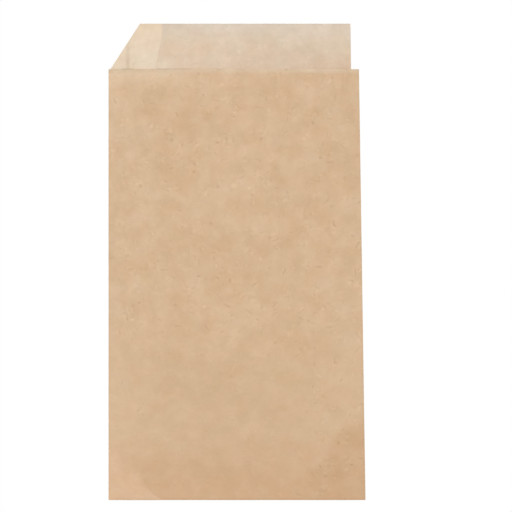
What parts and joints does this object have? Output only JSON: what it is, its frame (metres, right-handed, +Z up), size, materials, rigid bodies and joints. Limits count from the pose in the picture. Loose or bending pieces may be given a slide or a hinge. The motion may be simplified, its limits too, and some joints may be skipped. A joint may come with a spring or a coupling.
{
  "type": "greaseproof crepe bag",
  "caption": "Flat open-mouthed bag of thin brown greaseproof paper, with a back lip standing above the mouth, a lapped back seam and a turned-under bottom.",
  "frame": {"origin": "centre of the bag's outline, on the surface it lies on", "axes": "+Y towards the mouth, +X to the bag's right seen from its front, +Z up out of the front"},
  "size_m": [0.13, 0.241, 0.0082],
  "materials": {
    "brown_paper": "matt, with a slight greaseproof sheen and cloudy fibres"
  },
  "bodies": {
    "root": {"crepe_bag": "brown_paper"}
  },
  "joints": []
}
